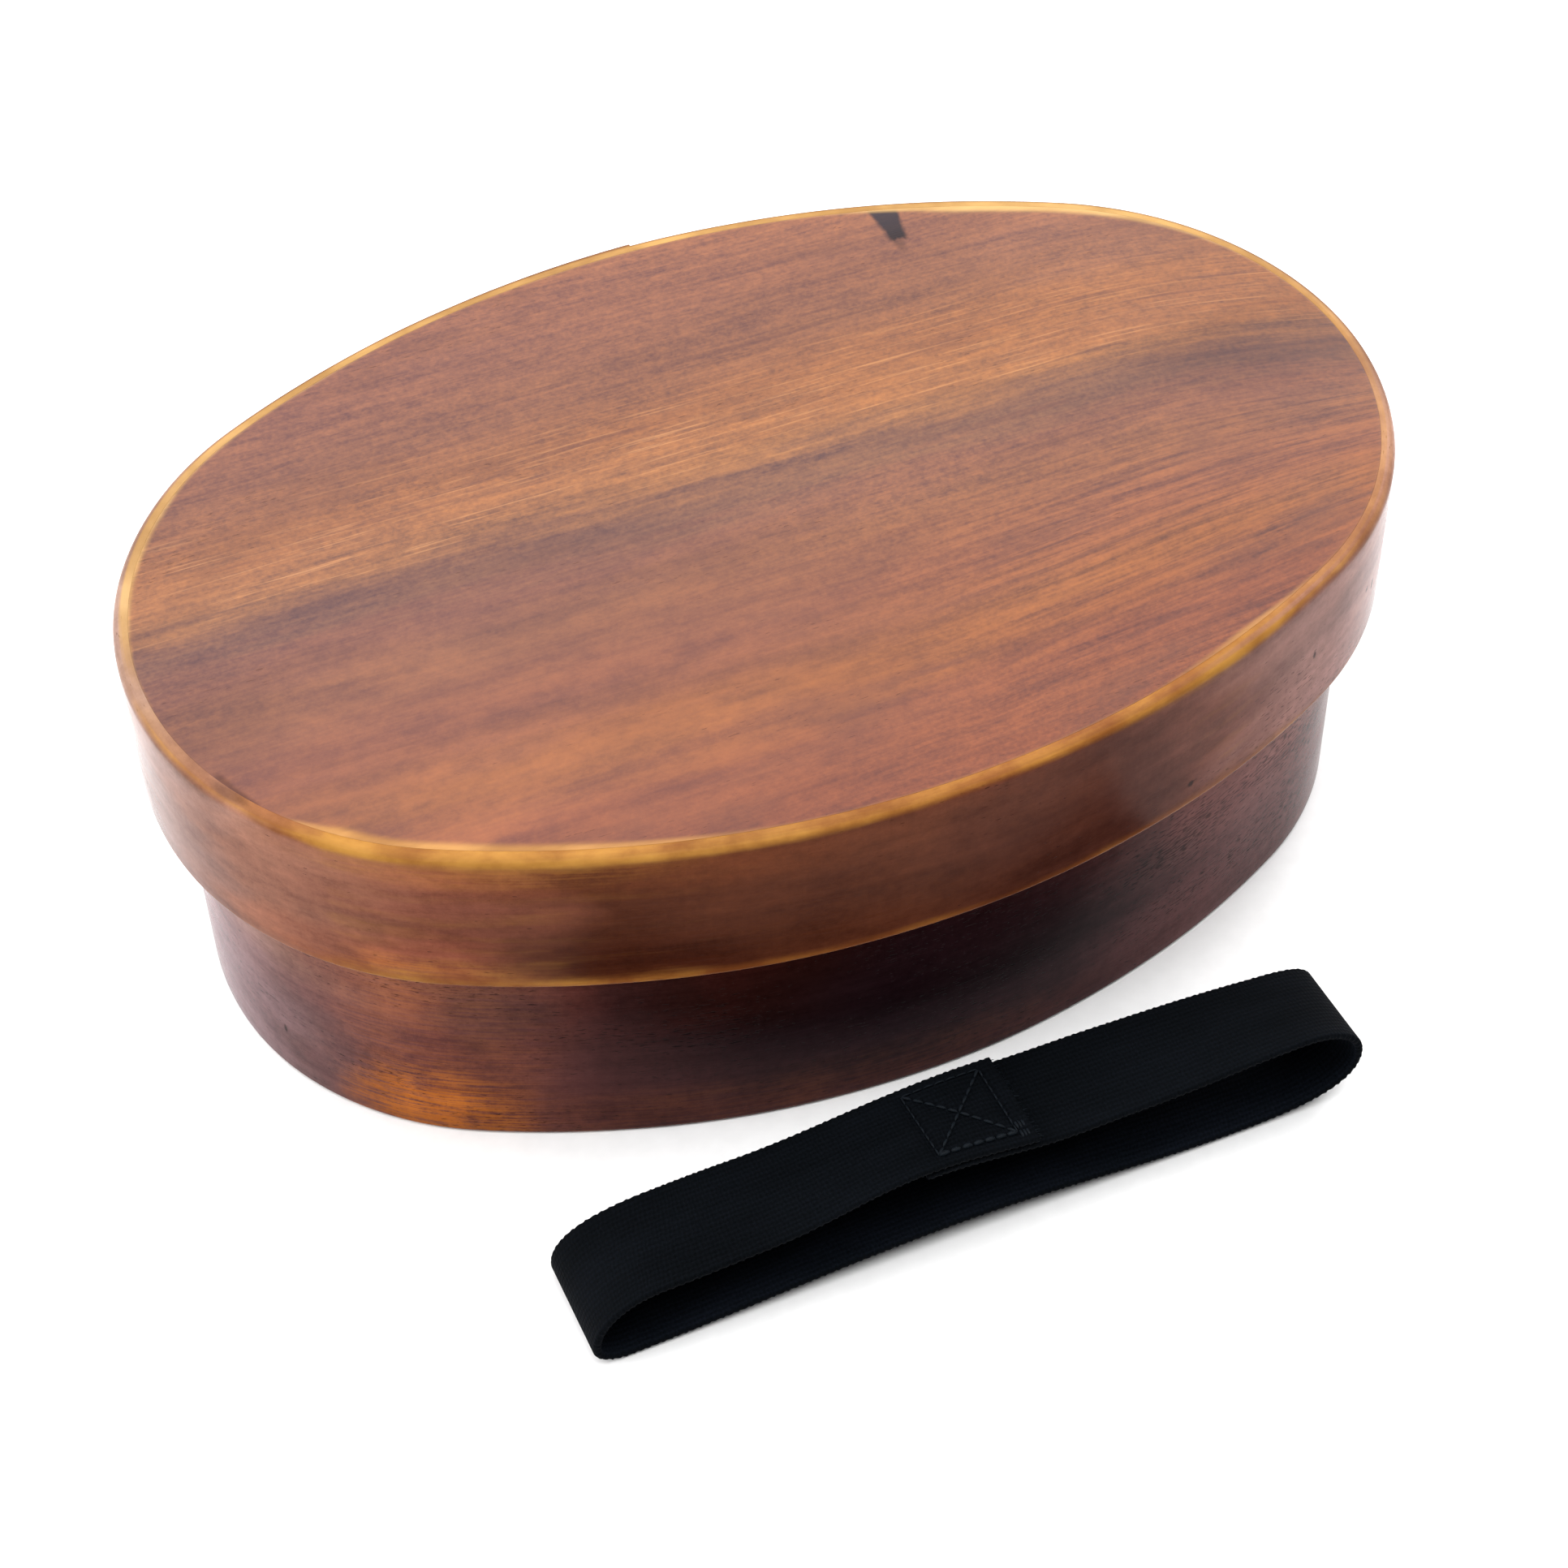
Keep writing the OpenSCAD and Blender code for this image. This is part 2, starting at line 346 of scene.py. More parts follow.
def wood_relief(shader, place, line, pores):
    """Fine lines and pores in the lacquer, over its slow waves."""
    wave = shader.noise(place, (16, 9), 1)
    height = shader.total((line, 0.25), (pores, -0.35), (wave, 0.4))
    return shader.bump(height, 0.035 * MM)


def worn_gloss(shader, place, tone, low, high):
    """Roughness that changes in patches and along the grain."""
    patch = shader.noise(place, (24, 10), 3)
    share = shader.total((patch, 0.7), (tone, 0.3))
    return shader.total((shader.between(share, 0.25, 0.75), high - low), (1.0, low))


def toned(shader, tint, tone, dark, light):
    """A colour taken towards a darker and a lighter one by a tone from 0 to 1."""
    return shader.blend(1.0, tint, shader.blend(tone, (*dark, 1.0), (*light, 1.0)), "MULTIPLY")


def with_light_and_tone_spots(shader, tint, place, light_and_tone_spots):
    """A colour made darker or lighter about some centres, each with its reach and its factor. On the bands
    some of these spots are painted light and shade.
    """
    for centre, reach, factor in light_and_tone_spots:
        tint = toned(shader, tint, shader.spot(place, centre, reach), UNCHANGED, factor)
    return tint


def knot_mask(shader, place):
    """A wedge by the back rim that narrows towards the front, with a faint tail, and how far down it is."""
    foot_x, foot_y, length = 41.3, 53.8, 7.2
    ragged = shader.noise(place, (0.9, 2.2, 0.9), 3)
    where = shader.parts(place)
    down = shader.math("DIVIDE", shader.math("SUBTRACT", foot_y, where["Y"]), length)
    half_width = shader.total((down, -0.85), (ragged, 0.9), (1.0, 1.9))
    middle = shader.total((down, -0.5), (1.0, foot_x))
    inside = shader.math("SUBTRACT", half_width, shader.off(where["X"], middle))
    reached = shader.total((down, 1.0), (ragged, 0.3))
    ended = shader.inverse(shader.between(reached, 1.08, 1.3))
    wedge = shader.times(shader.between(inside, -0.4, 0.7), ended)
    tail = shader.times(shader.spot(place, (40.4, 46.2), (1.3, 3.6)), 0.4)
    return shader.most(wedge, tail), down


def knock_mask(shader, place):
    """The knock in the lid's edge, with a ragged outline."""
    off_middle = shader.parts(shader.vector("SUBTRACT", place, (*knock_middle, 0.0)))
    along = shader.total((off_middle["X"], knock_run[0]), (off_middle["Y"], knock_run[1]))
    across = shader.total((off_middle["X"], -knock_run[1]), (off_middle["Y"], knock_run[0]))
    ragged = shader.noise(place, (1.2, 1.2), 3)
    off_line = shader.total((shader.off(across, 0.0), 1.0), (ragged, 0.8))
    long = shader.between(shader.off(along, 0.0), 5.2, 3.0)
    return shader.times(long, shader.between(off_line, 1.3, 0.4))


def grain_bend(shader, where):
    """How far the lid's grain moves over towards the right: its back bends down, and its front rises."""
    back_start, back_curve = 52.0, 0.0042
    front_start, front_slope = 12.0, -0.1
    back = shader.times(shader.math("POWER", shader.past(where["X"], back_start), 2.0), back_curve)
    front = shader.times(shader.past(where["X"], front_start), front_slope)
    return shader.mixed(shader.between(where["Y"], -8.0, -38.0), back, front)


def lid_board_tone(shader, place, streaks, clouded, speck, haze, calm):
    """Light and dark of the lid's grain: strong at the front right, and still where it is calm."""
    broad, streak, thread, line = streaks
    even = shader.total(
        (broad, 0.12), (haze, 0.1), (streak, 0.14), (thread, 0.18), (line, 0.12), (clouded, 0.32),
        (speck, 0.2), (1.0, -0.09),
    )
    strong = shader.total(
        (streak, 0.36), (thread, 0.32), (line, 0.16), (clouded, 0.3), (speck, 0.14), (1.0, -0.14),
    )
    still = shader.total(
        (broad, 0.12), (haze, 0.28), (streak, 0.16), (thread, 0.06), (clouded, 0.24), (1.0, 0.07),
    )
    lively = shader.spot(place, (62, -30), (60, 34))
    return shader.mixed(calm, shader.mixed(lively, even, strong), still)


def lid_board_material():
    """Straight grain along the lid: an orange band behind a dark heart streak, and a red front."""
    shader = Shader("lid_board_lacquer")
    place = shader.own_place()
    where = shader.parts(place)
    curved = shader.vector("ADD", place, shader.joined(0.0, grain_bend(shader, where)))
    streaks = grain(shader, curved, [(70, 5), (26, 2.1), (15, 0.85), (7, 0.42)])
    sway = shader.noise(curved, (60, 8), 4)
    slow = shader.noise(curved, (160, 30), 1)
    shift = shader.total((sway, 8.0), (slow, 5.0), (streaks[1], 3.0), (1.0, -8.0))
    swayed = shader.math("ADD", shader.parts(curved)["Y"], shift)
    tint = shader.ramp(swayed, {
        -62: "#683c2d", -46: "#6d4232", -35: "#734830", -24: "#6d4536", -10: "#6e4938",
        -3: "#69463a", 2: "#5f4339", 5.2: "#634539", 9.6: "#755039", 15: "#7f553a",
        22: "#784f37", 33: "#6b4839", 46: "#6b483c", 62: "#795140",
    })
    clouded = mottle(shader, curved)
    speck = shader.spread_noise(curved, (0.8, 0.65), 2)
    haze = shader.spread_noise(curved, (16, 6), 4)
    calm = shader.spot(place, (-46, -32), (80, 44))
    tone = lid_board_tone(shader, place, streaks, clouded, speck, haze, calm)
    tint = toned(shader, tint, tone, (0.38, 0.42, 0.68), (1.42, 1.33, 1.02))
    vein = shader.spread_noise(curved, (34, 1.7), 3, 0.58, 0.76)
    veined = shader.total((vein, 0.45), (shader.times(vein, calm), -0.35))
    tint = shader.blend(veined, tint, "#4c322f")
    gilt = shader.spread_noise(curved, (18, 0.55), 2, 0.54, 0.74)
    banded = shader.times(shader.between(swayed, 6.0, 11.0), shader.between(swayed, 36.0, 18.0))
    tint = shader.stain(tint, "#a5744a", gilt, banded, 0.5)
    tint = toned(shader, tint, shader.between(where["X"], -80.0, 40.0), (0.97, 1.0, 1.16), (1.01, 1.0, 1.0))
    tint = with_light_and_tone_spots(shader, tint, place, [
        ((88, 4), (36, 14), (0.74, 0.72, 0.8)),
        ((66, 36), (24, 14), (1.18, 1.2, 1.19)),
        ((66, 15), (30, 6), (0.88, 0.87, 0.95)),
        ((72, -11), (18, 9), (0.87, 0.87, 0.95)),
        ((-86, -10), (14, 14), (0.85, 0.86, 0.9)),
        ((-24, -39), (22, 7), (1.12, 1.12, 1.1)),
        ((14, 1), (34, 15), (1.15, 1.15, 1.08)),
        ((-58, -38), (26, 13), (1.18, 1.18, 1.14)),
        ((45, -42), (34, 9), (0.88, 0.86, 0.92)),
    ])
    blot = shader.spread_noise(place, (34, 14), 4, 0.5, 0.75)
    tint = shader.stain(tint, "#553830", blot, 0.4)
    pores = flecks(shader, place, 0.04)
    tint = shader.stain(tint, "#3c231c", pores, 0.45)
    knot, down = knot_mask(shader, place)
    knot_tint = shader.ramp(down, {0: "#232129", 0.6: "#1e1b21", 1: "#131014"})
    tint = shader.stain(tint, knot_tint, knot, 0.93)
    edge = shader.between(shader.total((shader.wear(), 1.0), (sway, 0.5), (1.0, -0.25)), 0.1, 0.9)
    gold = shader.blend(shader.between(where["Y"], -20.0, 20.0), "#94693a", PALE_GOLD)
    tint = shader.blend(edge, tint, toned(shader, gold, haze, *UNEVEN_GOLD))
    tint = shader.stain(tint, "#40241a", knock_mask(shader, place), 0.65)
    rough = worn_gloss(shader, place, tone, 0.36, 0.5)
    return shader.finish(tint, rough, wood_relief(shader, curved, streaks[3], pores), 0.1)


def arc_share(shader, arc, stops):
    """A share between 0 and 1 by arc from the left tip."""
    return shader.ramp(arc, {at: (share, share, share, 1.0) for at, share in stops.items()})


def rim_left_brown(shader, arc, height, rim):
    """Where the rim keeps its brown: on a thin line, inside that line, and on the outer rounding."""
    top = lid_high.z / MM
    off_line = shader.off(height, top + 0.45)
    near = shader.between(height, top - 3, top - 2)
    places = {
        "line": shader.inverse(shader.between(off_line, 0.15, 0.6)),
        "inside": shader.between(height, top, top + 0.6),
        "outside": shader.times(near, shader.between(height, top + 0.8, top + 0.1)),
    }
    shares = [shader.times(at, arc_share(shader, arc, rim[key])) for key, at in places.items()]
    return shader.most(*shares)


def band_material(
    name, colour_and_light_by_arc, weights, height_light_and_tone, ambers, gold_drop, patches, light_and_tone_spots, pinholes, pored, worn_arcs, rim=None
):
    """Grain that runs round a band, with edges rubbed to amber. Its colours by arc, its change with height
    and its spots also hold painted light and shade. Stops go by arc from the left tip.
    """
    shader = Shader(name)
    place = shader.map_place()
    where = shader.parts(place)
    arc, height = where["X"], where["Y"]
    broad, streak, line = grain(shader, place, [(60, 5), (30, 1.1), (16, 0.3)])
    brushed = shader.noise(place, (0.6, 12), 2)
    cloud = shader.spread_noise(place, (13, 8), 5)
    tone = shader.total(*zip((broad, cloud, mottle(shader, place), streak, line, brushed), weights))
    drift = shader.total((shader.noise(place, (24, 10), 3), 30.0), (1.0, -15.0))
    tint = shader.ramp(shader.math("ADD", arc, drift), colour_and_light_by_arc)
    tint = toned(shader, tint, tone, (0.42, 0.35, 0.43), (1.6, 1.6, 1.85))
    # Partly painted light: the band gets lighter towards the top and darker towards the bottom, partly the
    # overhead light painted in and partly the lacquer's own tone.
    low, high, dark, light = height_light_and_tone
    tint = toned(shader, tint, shader.between(height, low, high), dark, light)
    uneven = shader.noise(place, (20, 2.6), 3)
    worn_here = arc_share(shader, arc, worn_arcs)
    low_edge = shader.between(height, 50.0, 42.0)
    golden = shader.total(
        (uneven, 0.5), (cloud, 0.2), (tone, 0.3), (worn_here, 0.35), (low_edge, gold_drop), (1.0, -0.2),
    )
    amber = shader.blend(shader.between(golden, 0.25, 0.75), *ambers)
    fibre = shader.spread_noise(place, (9, 0.45), 2, 0.3, 0.7)
    wiped = shader.between(shader.total((tone, 0.6), (fibre, 0.4)), 0.15, 0.75)
    wobble = shader.total((cloud, 4.0), (1.0, -2.0))
    ragged = shader.vector("ADD", place, shader.joined(wobble, shader.times(wobble, -0.4)))
    for centre, reach, strength in patches:
        share = shader.times(shader.spot(ragged, centre, reach), wiped, strength)
        tint = shader.blend(shader.math("MINIMUM", share, 1.0), tint, amber)
    # Spots of tone, some of them painted light and shade.
    tint = with_light_and_tone_spots(shader, tint, ragged, light_and_tone_spots)
    pores = flecks(shader, place, pored, shader.spot(place, (190, 30), (46, 36)))
    tint = toned(shader, tint, pores, UNCHANGED, (0.36, 0.32, 0.32))
    level = shader.total((shader.wear(), 1.0), (uneven, 0.8), (worn_here, 0.7), (1.0, -0.9))
    rubbed = shader.between(level, 0.1, 0.95)
    if rim is not None:
        brown = rim_left_brown(shader, arc, height, rim)
        rubbed = shader.times(rubbed, shader.inverse(brown))
        upper = shader.between(height, lid_high.z / MM - 2, lid_high.z / MM - 1)
        pale = shader.times(upper, arc_share(shader, arc, rim["pale"]))
        amber = shader.blend(pale, amber, PALE_GOLD)
    tint = shader.blend(rubbed, tint, toned(shader, amber, cloud, *UNEVEN_GOLD))
    for centre, reach, strength in pinholes:
        tint = shader.stain(tint, "#1f100c", shader.spot(place, centre, reach), strength)
    rough = worn_gloss(shader, place, tone, *BAND_GLOSS)
    return shader.finish(tint, rough, wood_relief(shader, place, line, pores), 0.03)


def lid_band_material():
    return band_material(
        "lid_band_lacquer",
        # Colours by arc, partly the lacquer's own and partly painted light: the pale pinkish grey at the
        # left tip (-20 to 0) and at the right end (205 to 226) is a painted reflection of the white floor,
        # the lighter orange at 28 to 58 is painted light on the left front, and the darker front from 77 to
        # 152 is partly painted shade.
        colour_and_light_by_arc={
            -128: "#4f2e1b", -60: "#583724", -20: "#766153", 0: "#7d6a5e", 28: "#76523d",
            58: "#6a3e2b", 77: "#432211", 120: "#512c19", 152: "#43251a", 169: "#5d3a2c",
            205: "#826457", 226: "#927a70", 250: "#5e3c29", 378: "#4f2e1b",
        },
        weights=(0.24, 0.3, 0.26, 0.06, 0.04, 0.1),
        height_light_and_tone=(42, 63, (0.84, 0.78, 0.78), (1.16, 1.12, 1.1)),
        ambers=("#784420", "#95672b"),
        gold_drop=-0.22,
        patches=[((52, 41), (24, 5), 0.6), ((60, 63), (40, 4), 0.2)],
        # Painted light and shade among these spots: the lighter ones at arcs 38 and 55 are painted light on
        # the left front, the darker one at 83 is painted shade beside it, the lighter ones high up at 82
        # and 142 are partly painted overhead light and partly lighter lacquer under the rim, and the pale
        # one low at 192 is a painted reflection. The spots at 14, 33 and 216 make the band darker just
        # under its top edge.
        light_and_tone_spots=[
            ((14, 66), (16, 3.4), (0.74, 0.68, 0.58)), ((33, 66.3), (9, 2.2), (0.75, 0.65, 0.42)),
            ((38, 44), (20, 6), (1.3, 1.2, 1.1)), ((55, 45), (15, 9), (1.3, 1.2, 1.1)),
            ((82, 62), (42, 6), (1.4, 1.35, 1.12)), ((83, 44), (20, 7), (0.78, 0.68, 0.68)),
            ((142, 62), (28, 8), (1.2, 1.2, 1.15)), ((192, 44), (36, 14), (1.45, 1.45, 1.45)),
            ((216, 65.8), (32, 3), (0.8, 0.68, 0.52)),
        ],
        pinholes=[
            ((25.8, 66.4), (4.8, 1.3), 0.45), ((167, 44.3), (0.8, 0.8), 0.85),
            ((212, 50), (0.7, 1.3), 0.85), ((209, 51.6), (0.6, 0.8), 0.85),
            ((193, 51.5), (0.5, 0.9), 0.85),
        ],
        pored=0.03,
        worn_arcs={
            -128: 0.5, -40: 0.6, -10: 0.7, 12: 0.2, 34: 0.25, 42: 1.0, 70: 0.95, 95: 0.78, 137: 0.42,
            155: 0.6, 175: 1.0, 200: 0.4, 215: 0.35, 250: 0.4, 306: 0.7, 340: 0.5, 378: 0.5,
        },
        rim={
            "line": {
                -128: 0.0, -20: 0.2, 0: 0.6, 30: 0.8, 42: 0.0, 100: 0.25, 160: 0.3,
                190: 0.6, 215: 0.8, 252: 0.4, 280: 0.0, 378: 0.0,
            },
            "inside": {
                -128: 0.0, -10: 0.2, 5: 0.7, 33: 0.85, 42: 0.0, 75: 0.1, 105: 0.4,
                145: 0.3, 178: 0.0, 200: 0.4, 250: 0.3, 280: 0.0, 378: 0.0,
            },
            "outside": {-128: 0.9, -10: 0.9, 5: 0.4, 20: 0.0, 185: 0.0, 215: 0.7, 300: 0.9, 378: 0.9},
            "pale": {
                -128: 0.75, -50: 0.9, -15: 1.0, 0: 0.6, 15: 0.25, 40: 0.12, 100: 0.12,
                140: 0.0, 200: 0.2, 240: 0.5, 270: 0.7, 306: 1.0, 340: 0.8, 378: 0.75,
            },
        },
    )


def body_band_material():
    return band_material(
        "body_band_lacquer",
        # Colours by arc, partly the lacquer's own and partly painted light: the pale pinkish grey at the
        # left tip (-20 to 0) and the lighter grey-brown at the right end (205 to 228) are a painted
        # reflection of the white floor, and the dark front from 78 to 150 is partly painted shade.
        colour_and_light_by_arc={
            -128: "#40251a", -60: "#482b21", -20: "#715a54", 0: "#7a645f", 26: "#5a423b",
            52: "#5c362e", 78: "#432520", 120: "#361d1d", 150: "#3a211f", 174: "#563731",
            205: "#644840", 228: "#70584f", 250: "#5d3b31", 378: "#40251a",
        },
        weights=(0.2, 0.18, 0.32, 0.1, 0.1, 0.1),
        height_light_and_tone=(12, 38, (0.96, 0.92, 0.96), (1.2, 1.0, 0.9)),
        ambers=("#6a3616", "#9a5722"),
        gold_drop=0.0,
        patches=[((50, 3), (20, 15), 1.3), ((52, 20), (24, 28), 0.3), ((100, 4), (70, 8), 0.15)],
        # Painted light and shade among these spots: the lighter one high at arc 40 is painted light on the
        # left front, the lighter one at 186 is a painted reflection towards the right end, and the strong
        # dark one at 122 is painted shade, standing for the strap's shadow and its dark reflection on the
        # front. The others make the band darker or redder in places.
        light_and_tone_spots=[
            ((40, 34), (44, 12), (1.3, 1.4, 1.2)), ((60, 28), (12, 12), (0.7, 0.8, 0.95)),
            ((51, 7), (9, 7), (1.4, 1.4, 1.15)), ((84, 31), (12, 10), (0.65, 0.8, 0.9)),
            ((98, 31), (26, 14), (1.0, 0.78, 0.6)), ((122, 22), (60, 24), (0.36, 0.46, 0.54)),
            ((186, 28), (24, 10), (1.4, 1.4, 1.4)), ((196, 5), (20, 8), (0.84, 0.84, 0.85)),
        ],
        pinholes=[((6, 27), (0.6, 2.0), 0.85), ((23, 10), (0.5, 1.2), 0.85)],
        pored=0.1,
        worn_arcs={-128: 0.5, 30: 0.7, 60: 0.8, 100: 0.6, 150: 0.4, 378: 0.5},
    )


def inner_board_material():
    """The bottom board and the divider, in the same lacquer without the wear."""
    shader = Shader("inner_board_lacquer")
    place = shader.own_place()
    where = shader.parts(place)
    across = shader.math("ADD", where["Y"], where["Z"])
    along = shader.joined(shader.math("ADD", where["X"], where["Y"]), across)
    broad, streak, line = grain(shader, along, [(120, 5), (60, 1.5), (30, 0.4)])
    tone = shader.total((broad, 0.45), (streak, 0.35), (line, 0.2))
    tint = shader.ramp(tone, {0: "#55301f", 0.5: "#744429", 1: "#935d36"})
    pores = flecks(shader, along, 0.08)
    tint = shader.stain(tint, "#38190f", pores, 0.6)
    rough = worn_gloss(shader, place, tone, 0.3, 0.45)
    return shader.finish(tint, rough, wood_relief(shader, along, line, pores), 0.25)


def elastic_material():
    """Black woven elastic: ribs along the strap, crossed by fine picks that wander a little."""
    shader = Shader("woven_elastic")
    pick_pitch, rib_pitch = 0.62, 0.85
    place = shader.map_place()
    wander = shader.noise(place, (2.2, 1.4), 2)
    where = shader.parts(place)
    along = shader.math("ADD", where["X"], shader.times(wander, 0.8))
    pick = shader.math("SINE", shader.times(along, 2 * math.pi / pick_pitch))
    across = shader.math("ADD", where["Y"], shader.times(wander, 0.5))
    rib = shader.math("SINE", shader.times(across, 2 * math.pi / rib_pitch))
    weave = shader.total((pick, 0.2), (rib, 0.3), (1.0, 0.5))
    fluff = shader.noise(place, (0.5, 0.35), 3)
    faded = shader.noise(place, (20, 6), 3)
    share = shader.total((weave, 0.2), (fluff, 0.5), (faded, 0.4))
    tint = shader.ramp(share, {0.3: "#010203", 0.55: "#05070a", 0.8: "#0a0d12"})
    # Painted light: the loop's inner face is made lighter, standing in for light that reaches it from the
    # front.
    inner = shader.times(shader.between(where["Y"], 0.8, 1.8), shader.between(where["Y"], 18.6, 17.6))
    tint = toned(shader, tint, inner, UNCHANGED, (2.4, 2.4, 2.6))
    rough = shader.total((fluff, 0.2), (1.0, 0.75))
    relief = shader.bump(shader.total((weave, 0.6), (fluff, 0.4)), 0.12 * MM)
    return shader.finish(tint, rough, relief, 0.03)


def thread_material():
    """Twisted sewing thread, a little bluer than the elastic."""
    shader = Shader("sewing_thread")
    place = shader.own_place()
    ply = shader.noise(place, (0.3, 0.12, 0.3), 2)
    tint = shader.ramp(ply, {0.3: "#05080b", 0.7: "#0c131a"})
    rough = shader.total((ply, 0.3), (1.0, 0.5))
    return shader.finish(tint, rough, shader.bump(ply, 0.05 * MM), 0.1)


def lid_section():
    """Inset and height of each point of the lid band's section."""
    top, bottom, ledge = lid_high.z, lid_low.z, lid_board_low.z
    outer_heights = np.linspace(bottom + lower_edge_round, top - lid_edge_round, 24)[1:-1]
    points = rounding(lid_wall - small_round, bottom + small_round, small_round, 180, 270, 3)
    points += rounding(lower_edge_round, bottom + lower_edge_round, lower_edge_round, -90, 0)
    points += [(0.0, z) for z in outer_heights]
    points += rounding(lid_edge_round, top - lid_edge_round, lid_edge_round, 0, 90, 8)
    points += rounding(rim_width - inner_round, top - inner_round, inner_round, 90, 180, 3)
    points += [(rim_width, ledge), (lid_wall, ledge)]
    points += [(lid_wall, z) for z in np.linspace(ledge, bottom + small_round, 8)[1:-1]]
    return np.array(points)


def body_section():
    """Inset and height of each point of the body band's section."""
    top, shelf = body_high.z, base_high.z
    inner = body_inset + body_wall
    outer_heights = np.linspace(lower_edge_round, top - rim_round, 30)[1:-1]
    points = [(inner, shelf), (inner - rebate_depth, shelf)]
    points += rounding(inner - rebate_depth - small_round, small_round, small_round, 180, 270, 3)
    points += rounding(body_inset + lower_edge_round, lower_edge_round, lower_edge_round, -90, 0)
    points += [(body_inset, z) for z in outer_heights]
    points += rounding(body_inset + rim_round, top - rim_round, rim_round, 0, 90)
    points += rounding(inner - rim_round, top - rim_round, rim_round, 90, 180)
    points += [(inner, z) for z in np.linspace(top - rim_round, shelf, 12)[1:-1]]
    return np.array(points)


def bent_band(name, section, face, lap_x, wear, material, stations=460):
    """A band swept round the oval. It starts at the step of its outer lap and ends under it."""
    insets, heights = section[:, 0], section[:, 1]
    inner = insets.max()
    face_radius = side_radius - face
    middle = math.acos(lap_x / face_radius)
    half_lap = lap_length / face_radius / 2
    first_arc = arc_of(middle - half_lap)
    lap_end = arc_of(middle + half_lap)
    arcs = np.linspace(first_arc, first_arc + oval_length, stations)
    before = int(np.searchsorted(arcs, lap_end))
    arcs = np.insert(arcs, before, [lap_end, lap_end])
    lapped = np.clip((arcs - first_arc) / (lap_end - first_arc), 0, 1)
    outer_lift = lap_step * (1 - lapped)
    inner_lift = np.where(np.arange(len(arcs)) <= before, lap_inner_step * lapped, 0)
    round_trip = 2 * math.pi * (arcs - first_arc) / oval_length
    ripple = (0.5 * np.sin(5 * round_trip + 0.8) + 0.5 * np.sin(13 * round_trip + 2.1)) * ripple_depth
    on_face = np.clip(1 - (insets - face) / lid_edge_round, 0, 1)
    on_inside = np.clip(1 - (inner - insets) / small_round, 0, 1)
    moved = insets - np.outer(outer_lift + ripple, on_face) + np.outer(inner_lift, on_inside)
    directions = direction_of(arcs)
    points = np.empty((len(arcs), len(insets), 3))
    for j, height in enumerate(heights):
        points[:, j, :2] = oval(directions, moved[:, j])
        points[:, j, 2] = height
    run = run_along(np.vstack([section, section[:1]]))
    on_outer = np.flatnonzero(insets == face)[0]
    run += heights[on_outer] - run[on_outer]
    faces, corner_uvs = swept_faces(arcs / MM, run / MM)
    return finish_mesh(name, points, faces, material, 35, corner_uvs, np.tile(wear, len(arcs)))


def swept_faces(arcs, run):
    """Quads of a closed section swept round a closed ring, and the grain map of their corners."""
    rows, columns = len(arcs), len(run) - 1
    faces = []
    corner_uvs = []
    for i in range(rows):
        after = (i + 1) % rows
        arc_after = arcs[i] if after == 0 else arcs[after]
        start, next_start = i * columns, after * columns
        for j in range(columns):
            above = (j + 1) % columns
            faces.append((start + j, next_start + j, next_start + above, start + above))
            corner_uvs += [(arcs[i], run[j]), (arc_after, run[j])]
            corner_uvs += [(arc_after, run[j + 1]), (arcs[i], run[j + 1])]
    return faces, corner_uvs


def closed_rings(rows, columns):
    """Faces of rings of points, one after another, with both ends closed."""
    faces = []
    for i in range(rows - 1):
        start, next_start = i * columns, (i + 1) * columns
        for k in range(columns):
            after = (k + 1) % columns
            faces.append((start + k, start + after, next_start + after, next_start + k))
    last = (rows - 1) * columns
    return faces + [tuple(range(columns)), tuple(range(last, last + columns))]


def lid_wear(section):
    """Strong on the rim and its rounding, weaker on the lower edge, and gone a little way off them."""
    insets, heights = section[:, 0], section[:, 1]
    from_top = np.hypot(lid_high.z - heights, np.maximum(insets - rim_width, 0))
    from_bottom = np.hypot(heights - lid_low.z, np.maximum(insets - lower_edge_round, 0))
    return np.maximum(fading(from_top, 1.2 * MM), 0.9 * fading(from_bottom, 1.9 * MM))


def body_wear(section):
    """Rubbed at the rim, and only a little at the foot."""
    insets, heights = section[:, 0], section[:, 1]
    from_top = body_high.z - heights
    from_foot = np.hypot(heights, np.maximum(insets - body_inset - lower_edge_round, 0))
    return np.maximum(fading(from_top, 1.6 * MM), 0.45 * fading(from_foot, 0.8 * MM))


